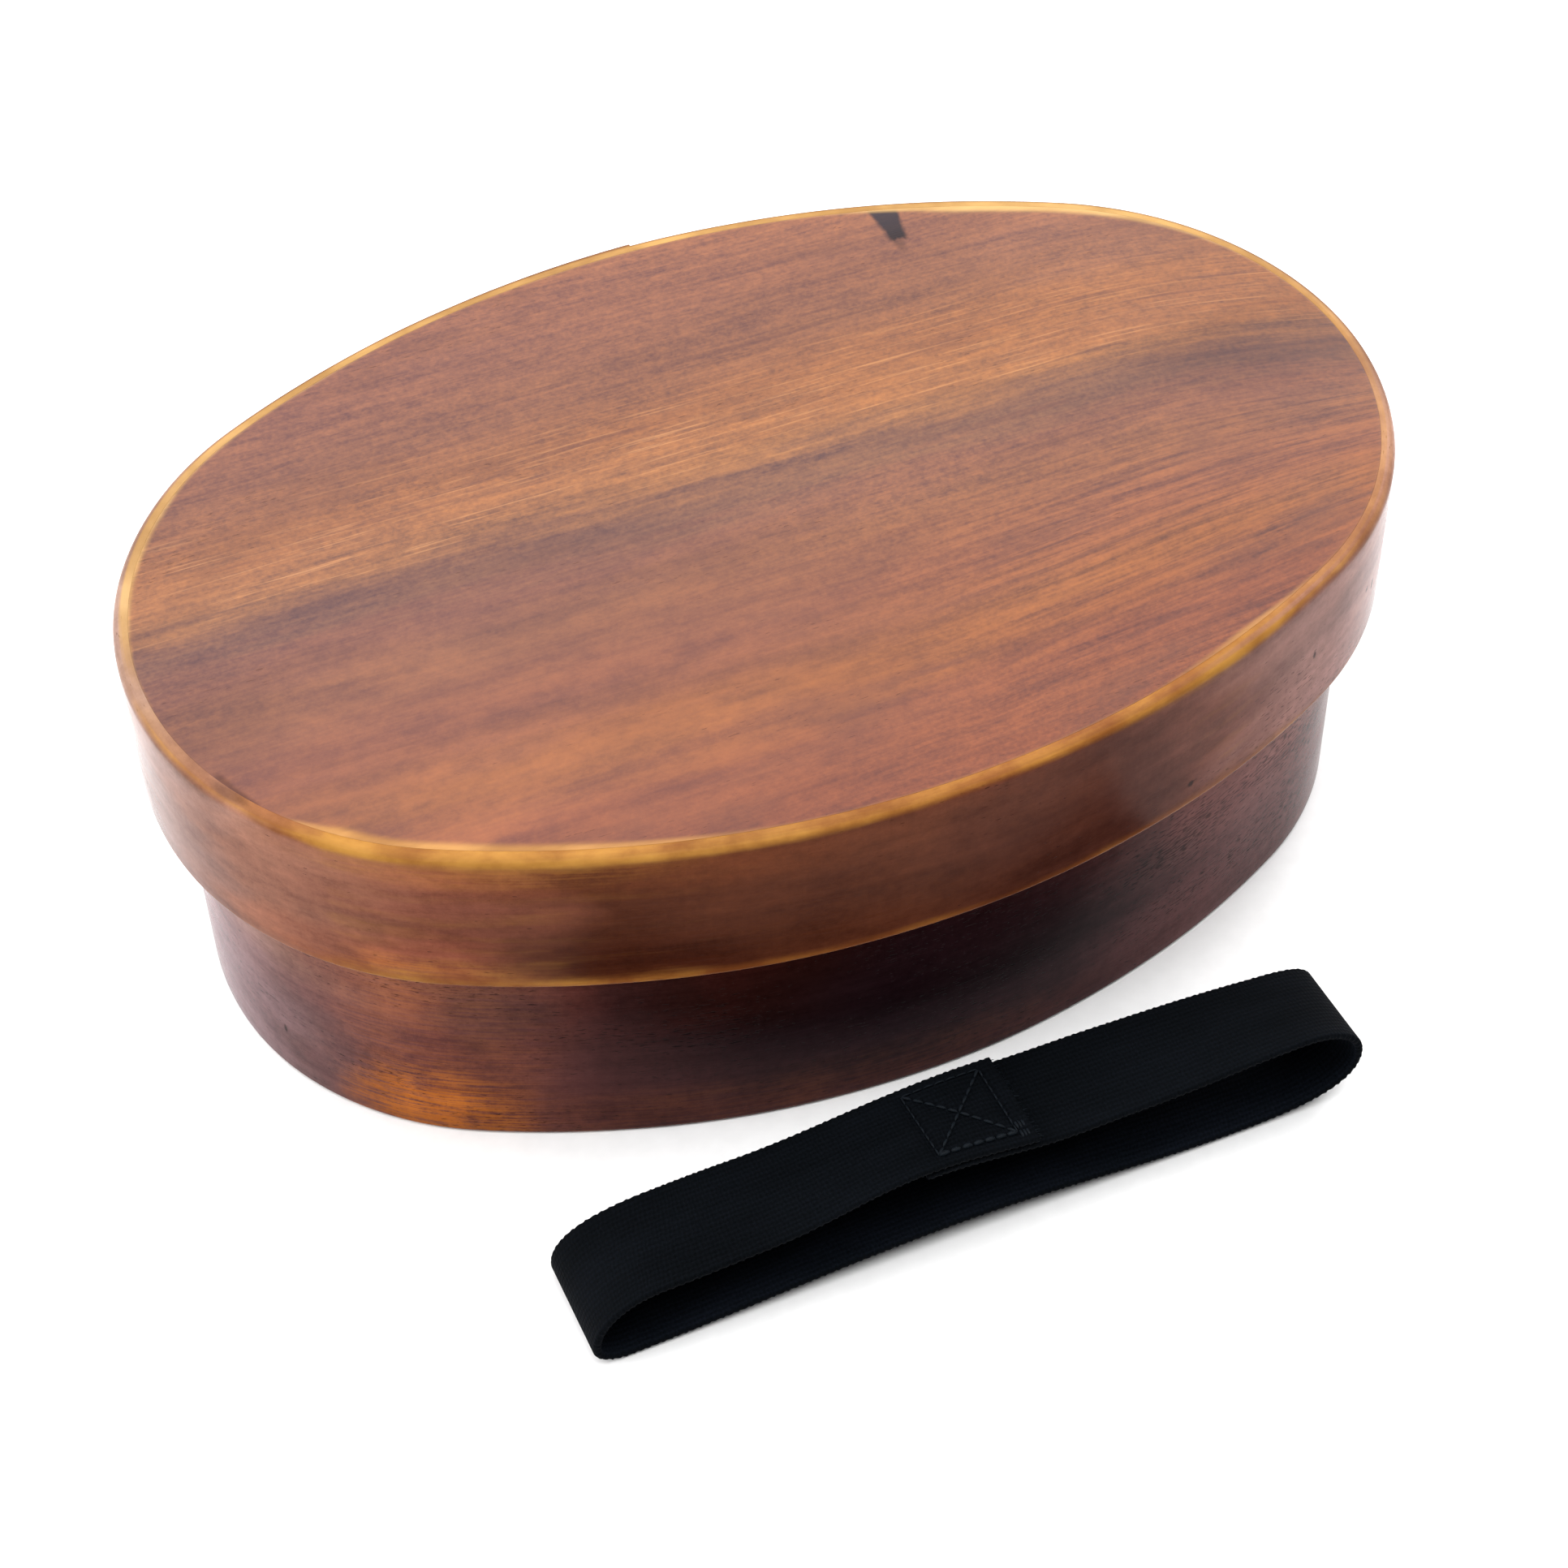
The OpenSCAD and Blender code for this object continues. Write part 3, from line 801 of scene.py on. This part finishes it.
def oval_board(name, inset, low, high, soft, material, hollow=None, worn_arcs=None, stations=400):
    """A board with softened edges. hollow gives the depth of marks in its upper face."""
    steps = np.array([0.5, 1, 1.6, 2.4, 3.4, 5, 8, 13, 20, 30, 40]) * MM
    flat = [(inset + soft + step, high) for step in steps]
    section = [(i, low) for i, _ in reversed(flat)]
    section += rounding(inset + soft, low + soft, soft, -90, 0, 4)
    section += rounding(inset + soft, high - soft, soft, 0, 90, 4)
    section += flat
    arcs = np.linspace(0, oval_length, stations, endpoint=False)
    directions = direction_of(arcs)
    points = np.empty((len(section), stations, 3))
    for j, (drawn_in, height) in enumerate(section):
        points[j, :, :2] = oval(directions, drawn_in)
        points[j, :, 2] = height
    if hollow is not None:
        upper = points[..., 2] > high - soft
        points[..., 2] -= np.where(upper, hollow(points[..., 0], points[..., 1]), 0)
    wear = None
    if worn_arcs is not None:
        from_edge = np.array([drawn_in for drawn_in, _ in section]) - inset
        share = np.interp(arcs / MM, list(worn_arcs), list(worn_arcs.values()))
        reach = (0.3 + 1.1 * share ** 2) * MM
        wear = (fading(from_edge[:, None], reach) * share).ravel()
    return finish_mesh(name, points, closed_rings(len(section), stations), material, wear=wear)


def knock_depth(x, y):
    """Depth of the knock in the lid's edge."""
    deepest, long, wide = 0.35 * MM, 3.6 * MM, 1.1 * MM
    off_x, off_y = x - knock_middle[0] * MM, y - knock_middle[1] * MM
    along = off_x * knock_run[0] + off_y * knock_run[1]
    across = off_x * knock_run[1] - off_y * knock_run[0]
    return deepest * fading(along, long) * fading(across, wide)


def divider_board(material):
    """A loose board with round upper corners and softened edges."""
    foot_z, corner_z = divider_low.z + divider_foot_round, divider_high.z - divider_corner
    outline = []
    for y, z, radius, first in (
        (divider_high.y - divider_foot_round, foot_z, divider_foot_round, 270),
        (divider_high.y - divider_corner, corner_z, divider_corner, 180),
        (divider_low.y + divider_corner, corner_z, divider_corner, 90),
        (divider_low.y + divider_foot_round, foot_z, divider_foot_round, 0),
    ):
        outline += rounding(y, z, radius, first, first - 90, 8)
    work = bmesh.new()
    face = work.faces.new([work.verts.new((divider_low.x, y, z)) for y, z in outline])
    grown = bmesh.ops.extrude_face_region(work, geom=[face])["geom"]
    far = [v for v in grown if isinstance(v, bmesh.types.BMVert)]
    bmesh.ops.translate(work, verts=far, vec=(divider_high.x - divider_low.x, 0, 0))
    rims = [e for e in work.edges if e.verts[0].co.x == e.verts[1].co.x]
    bmesh.ops.bevel(work, geom=rims, offset=divider_bevel, segments=3, profile=0.5, affect="EDGES")
    bmesh.ops.recalc_face_normals(work, faces=work.faces)
    work.verts.index_update()
    points = [v.co.copy() for v in work.verts]
    faces = [tuple(v.index for v in f.verts) for f in work.faces]
    work.free()
    return finish_mesh("divider_board", points, faces, material)


# The strap's loop, seen from the front: place, height and direction of its outer face, from the cut end.
# Its front edge stands higher than its back edge.
strap_thickness = 1.2 * MM
strap_width = strap_high.y - strap_low.y
strap_set_back = 0.9 * MM
strap_front = strap_low.y + strap_set_back
join_left = -13.2
join_right = 3.8
front_stations = [
    (join_right, 17.0, 174),
    (join_left, 18.6, 182),
    (-36.7, 14.4, 184),
    (-52.4, 13.4, 182),
    (-63.0, 3.8, 270),
    (-58.0, 0.2, 2),
    (-8.0, 3.0, 0),
    (40.0, 0.6, 2),
    (55.8, 9.4, 90),
    (46.0, 17.0, 180),
    (20.0, 15.6, 180),
    (join_right, 15.7, 174),
    (join_left, 17.3, 182),
]
back_stations = [
    (join_right, 15.3, 177),
    (join_left, 14.7, 186),
    (-36.7, 12.5, 180),
    (-48.0, 12.1, 183),
    (-63.3, 3.0, 270),
    (-58.0, 0.0, 0),
    (-8.0, 1.5, 0),
    (44.0, 0.0, 0),
    (56.5, 6.6, 90),
    (45.0, 12.2, 174),
    (20.0, 13.7, 178),
    (join_right, 14.0, 177),
    (join_left, 13.4, 186),
]
loop_pull = 0.39
loop_spacing = 0.28 * MM


def heading(degrees):
    return np.array([math.cos(math.radians(degrees)), math.sin(math.radians(degrees))])


def smooth_run(stations):
    """Points on a smooth line through stations of place, height and direction."""
    runs = []
    for (x0, z0, turn0), (x1, z1, turn1) in zip(stations, stations[1:]):
        start, end = np.array([x0, z0]) * MM, np.array([x1, z1]) * MM
        pull = loop_pull * np.linalg.norm(end - start)
        leave = start + pull * heading(turn0)
        arrive = end - pull * heading(turn1)
        gone = np.linspace(0, 1, 60)[:, None]
        left = 1 - gone
        run = start * left ** 3 + 3 * leave * gone * left ** 2
        run += 3 * arrive * gone ** 2 * left
        run += end * gone ** 3
        runs.append(run)
    return np.vstack([runs[0]] + [run[1:] for run in runs[1:]])


def respaced(points, run, spaced):
    """Points of a line at other distances along it."""
    return np.stack([np.interp(spaced, run, points[:, k]) for k in (0, 1)], axis=1)


def loop_frame():
    """Even points on both edges of the loop's outer face, its inward directions and their distances."""
    front, back = smooth_run(front_stations), smooth_run(back_stations)
    run = run_along((front + back) / 2)
    spaced = np.linspace(0, run[-1], int(run[-1] / loop_spacing) + 1)
    front, back = respaced(front, run, spaced), respaced(back, run, spaced)
    slope = np.gradient((front + back) / 2, axis=0)
    slope /= np.linalg.norm(slope, axis=1)[:, None]
    return front, back, np.stack([-slope[:, 1], slope[:, 0]], axis=1), spaced


def strap_section():
    """Points round the elastic's section: distance from its front edge, and depth under its outer face."""
    corner = 0.42 * strap_thickness
    flat = np.linspace(corner, strap_width - corner, 15)[1:-1]
    points = []
    for y, depth, first in (
        (strap_width - corner, corner, 90),
        (strap_width - corner, strap_thickness - corner, 0),
        (corner, strap_thickness - corner, -90),
        (corner, corner, 180),
    ):
        points += rounding(y, depth, -corner, first, first - 90, 3)
        if first == 0:
            points += [(y, strap_thickness) for y in flat[::-1]]
        if first == 180:
            points += [(y, 0.0) for y in flat]
    return np.array(points)


# The sewn box: its lines between places along the box and from the strap's front edge
sewn_left, sewn_right = -10.6 * MM, 1.4 * MM
sewn_front, sewn_back = 2.2 * MM, 15.4 * MM
sewn_corners = [
    (sewn_left, sewn_front), (sewn_right, sewn_front), (sewn_right, sewn_back), (sewn_left, sewn_back),
]
sewn_lines = [(sewn_corners[k], sewn_corners[(k + 1) % 4]) for k in range(4)]
sewn_lines += [(sewn_corners[0], sewn_corners[2]), (sewn_corners[1], sewn_corners[3])]
tack_front, tack_back = 0.9 * MM, 4.4 * MM
tack_places = [sewn_right + along * MM for along in (0.4, 0.9, 1.4)]
tack_lines = [((x, tack_front), (x, tack_back)) for x in tack_places]
thread_radii = np.array([0.42, 0.14, 0.14, 0.14, 0.24, 0.24, 0.22, 0.22, 0.22]) * MM


def sewn_pull(x, y):
    """How far the stitches draw the elastic in, by distance from the nearest sewn line."""
    deepest, reach = 0.4 * MM, 0.9 * MM
    nearest = np.full(np.shape(x), np.inf)
    for (x0, y0), (x1, y1) in sewn_lines:
        run_x, run_y = x1 - x0, y1 - y0
        share = np.clip(((x - x0) * run_x + (y - y0) * run_y) / (run_x ** 2 + run_y ** 2), 0, 1)
        nearest = np.minimum(nearest, np.hypot(x - x0 - share * run_x, y - y0 - share * run_y))
    return deepest * fading(nearest, reach)


def elastic_strap(material):
    """One length of elastic, whose last stretch lies under its first where they are sewn."""
    front, back, inward, spaced = loop_frame()
    section = strap_section()
    across, depth = section[:, 0], section[:, 1]
    edge_share, scallop_depth = 0.1, 0.09 * MM
    share = across / strap_width
    edge = np.clip(np.abs(share - 0.5) * 2 - (1 - edge_share), 0, 1) / edge_share * np.sign(share - 0.5)
    scallop = np.sin(2 * math.pi * spaced / (1.1 * MM))
    scallop += 0.5 * np.sin(2 * math.pi * spaced / (0.47 * MM) + 1)
    points = np.empty((len(front), len(section), 3))
    points[..., 0] = front[:, :1] * (1 - share) + back[:, :1] * share + inward[:, :1] * depth
    points[..., 1] = strap_front + across + np.outer(scallop, edge) * scallop_depth
    points[..., 2] = front[:, 1:] * (1 - share) + back[:, 1:] * share + inward[:, 1:] * depth
    sewn = spaced < (join_right - join_left) * MM
    pulled = sewn_pull(points[..., 0], points[..., 1] - strap_front)
    points[..., 2] -= np.where(sewn[:, None] & (depth < strap_thickness / 2), pulled, 0)
    run = run_along(np.vstack([section, section[:1]]))
    faces, corner_uvs = swept_faces(spaced / MM, run / MM)
    columns = len(section)
    faces, corner_uvs = faces[:-columns], corner_uvs[: -4 * columns]
    last = (len(front) - 1) * columns
    for cap in (range(columns), range(last, last + columns)):
        faces.append(tuple(cap))
        corner_uvs += [(0.0, run[k] / MM) for k in range(columns)]
    return finish_mesh("woven_strap", points, faces, material, 50, corner_uvs), spaced[-1]


def tube(points, radii, sides=7):
    """Points and faces of a thin tube with closed ends."""
    points = np.asarray(points, float)
    along = np.gradient(points, axis=0)
    along /= np.linalg.norm(along, axis=1)[:, None]
    side = np.cross(along, (0.0, 0.0, 1.0))
    side /= np.linalg.norm(side, axis=1)[:, None]
    up = np.cross(side, along)
    angles = 2 * math.pi * np.arange(sides) / sides
    rings = points[:, None] + np.asarray(radii)[:, None, None] * (
        np.cos(angles)[:, None] * side[:, None] + np.sin(angles)[:, None] * up[:, None]
    )
    return rings.reshape(-1, 3), closed_rings(len(points), sides)


def joined_tubes(name, tubes, material):
    points = np.vstack([p for p, _ in tubes])
    faces = []
    first = 0
    for tube_points, tube_faces in tubes:
        faces += [tuple(first + k for k in face) for face in tube_faces]
        first += len(tube_points)
    return finish_mesh(name, points, faces, material, 60)


def ply_height(x, y):
    """Height of the upper ply's outer face at a place along the box and from the strap's front edge."""
    front, back, _, spaced = loop_frame()
    past_join = 8
    upper = spaced < (join_right - join_left + past_join) * MM
    front, back = front[upper][::-1], back[upper][::-1]
    share = y / strap_width
    return np.interp(x, *front.T) * (1 - share) + np.interp(x, *back.T) * share


def box_stitches(material):
    """The sewn box with its cross, as single stitches that dive into the elastic at their ends."""
    stitch_pitch, stitch_length = 1.7 * MM, 1.6 * MM
    sunk, rise = 0.42 * MM, 0.3 * MM
    tubes = []
    share = np.linspace(-1, 1, 9)
    for thread_radius, ((x0, y0), (x1, y1)) in zip(thread_radii, sewn_lines + tack_lines):
        length = math.hypot(x1 - x0, y1 - y0)
        count = round(length / stitch_pitch)
        for k in range(count):
            middle = (k + 0.5) / count
            reach = share * stitch_length / length / 2
            x = x0 + (x1 - x0) * (middle + reach)
            y = y0 + (y1 - y0) * (middle + reach)
            z = ply_height(x, y) - sunk + rise * (1 - share ** 4)
            points = np.stack([x, strap_front + y, z], axis=1)
            tubes.append(tube(points, thread_radius * np.sqrt(1.02 - share ** 2)))
    return joined_tubes("box_stitches", tubes, material)


def cut_end_fibres(material):
    """Short ends of yarn that stick out of the cut end of the upper ply."""
    random = np.random.default_rng(11)
    spacing, root, radius = 0.32, 0.3 * MM, 0.1 * MM
    tubes = []
    cut_x = join_right * MM
    gone = np.linspace(0, 1, 4)
    for y in np.arange(0.4, strap_width / MM - 0.3, spacing) * MM:
        length = random.uniform(0.3, 1.0) * MM
        depth = random.uniform(0.25, 0.95) * strap_thickness
        lean = random.uniform(-0.4, 0.4)
        drop = random.uniform(0.1, 0.6)
        x = cut_x - root + (length + root) * gone
        z = ply_height(cut_x, y) - depth - drop * length * gone ** 2
        points = np.stack([x, strap_front + y + lean * length * gone, z], axis=1)
        tubes.append(tube(points, radius * (1 - 0.6 * gone), 5))
    return joined_tubes("cut_end_fibres", tubes, material)


# How far the lid board's edge is rubbed, by arc from the left tip
lid_board_worn = {
    0: 0.3, 12: 0.15, 33: 0.1, 43: 1.0, 75: 0.9, 105: 0.4, 160: 0.4, 178: 0.8, 205: 0.25, 250: 0.2,
    280: 0.5, 306: 1.0, 325: 1.0, 345: 0.4, 440: 0.4, 480: 0.6, oval_length / MM: 0.3,
}


def build_box():
    inner_board = inner_board_material()
    section = lid_section()
    lid_band = bent_band("lid_band", section, 0.0, lid_lap_x, lid_wear(section), lid_band_material())
    stand_for(lid_band, "lid_side", "lid")
    section = body_section()
    worn = body_wear(section)
    body_band = bent_band("body_band", section, body_inset, body_lap_x, worn, body_band_material())
    stand_for(body_band, "body_side", "box")
    lid_board = oval_board(
        "lid_board", rim_width, lid_board_low.z, lid_board_high.z, lid_board_soft, lid_board_material(),
        knock_depth, lid_board_worn,
    )
    stand_for(lid_board, "lid_panel", "lid")
    base_board = oval_board("base_board", base_inset, base_low.z, base_high.z, base_board_soft, inner_board)
    stand_for(base_board, "bottom_panel", "box")
    stand_for(divider_board(inner_board), "divider", "divider")


def build_strap():
    elastic, thread = elastic_material(), thread_material()
    strap, length = elastic_strap(elastic)
    stand_for(strap, "elastic_strap", "strap")
    stitches = box_stitches(thread)
    stand_for(stitches, "strap_stitching", "strap")
    fibres = cut_end_fibres(thread)
    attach(fibres, "strap")


# The middle of the studio, under its overhead light
studio_x, studio_y = 0.15, 0.35


def build_floor():
    """A round floor, no wider than the overhead light keeps evenly white."""
    radius, sides = 1.1, 96
    angles = np.linspace(0, 2 * math.pi, sides, endpoint=False)
    points = [(studio_x + radius * math.cos(a), studio_y + radius * math.sin(a), 0) for a in angles]
    shader = Shader("pale_floor")
    speck = shader.noise(shader.own_place(), (3, 3), 2)
    tint = shader.ramp(speck, {0.3: (0.80, 0.80, 0.80, 1), 0.7: (0.83, 0.83, 0.83, 1)})
    material = shader.finish(tint, 0.9, shader.bump(speck, 0.02 * MM), 0.1)
    floor = finish_mesh("floor", points, [tuple(range(len(points)))], material)


def softbox(name, place, aim, size, power):
    light = bpy.data.lights.new(name, "AREA")
    light.shape = "RECTANGLE"
    light.size, light.size_y = size
    light.energy = power
    made = placed(name, light)
    made.location = place
    made.rotation_euler = (Vector(aim) - Vector(place)).to_track_quat("-Z", "Y").to_euler()


def build_light():
    softbox("overhead_light", (studio_x, studio_y, 1.3), (studio_x, studio_y, 0), (2.4, 2.4), 62)
    softbox("left_light", (-1.2, 0.1, 0.6), (-0.25, 0.1, 0), (0.7, 0.7), 12)
    softbox("right_light", (1.0, 0.8, 0.7), (0.25, 0.15, 0), (0.6, 0.6), 8)
    studio = Shader("studio", "worlds")
    back = studio.parts(studio.node("TexCoord", {}).outputs["Generated"])["Y"]
    levels = {"From Min": -0.7, "From Max": 0.3, "To Min": 0.15, "To Max": 0.85}
    level = studio.node("MapRange", {"Value": back, **levels}).outputs["Result"]
    seen = studio.node("LightPath", {}).outputs["Is Camera Ray"]
    background = studio.tree.nodes["Background"].inputs
    studio.put(background["Strength"], studio.most(level, seen))
    studio.put(background["Color"], (1, 1, 1, 1))
    bpy.context.scene.world = studio.owner


def build_camera():
    """The photograph's view: direction, distance and framing."""
    azimuth, elevation = math.radians(-23.56), math.radians(47.58)
    distance = 517.1 * MM
    target = Vector((8.67, -15.98, 20)) * MM
    away = Vector((
        math.sin(azimuth) * math.cos(elevation),
        -math.cos(azimuth) * math.cos(elevation),
        math.sin(elevation),
    ))
    camera = bpy.data.cameras.new("camera")
    camera.sensor_width = 36
    camera.lens = 78.55
    camera.shift_x, camera.shift_y = -0.055, -0.0088
    made = placed("camera", camera)
    made.location = target + away * distance
    made.rotation_euler = (-away).to_track_quat("-Z", "Y").to_euler()
    bpy.context.scene.camera = made
    bpy.context.scene.view_settings.view_transform = "Standard"


build_camera()
build_box()
build_strap()
build_floor()
build_light()
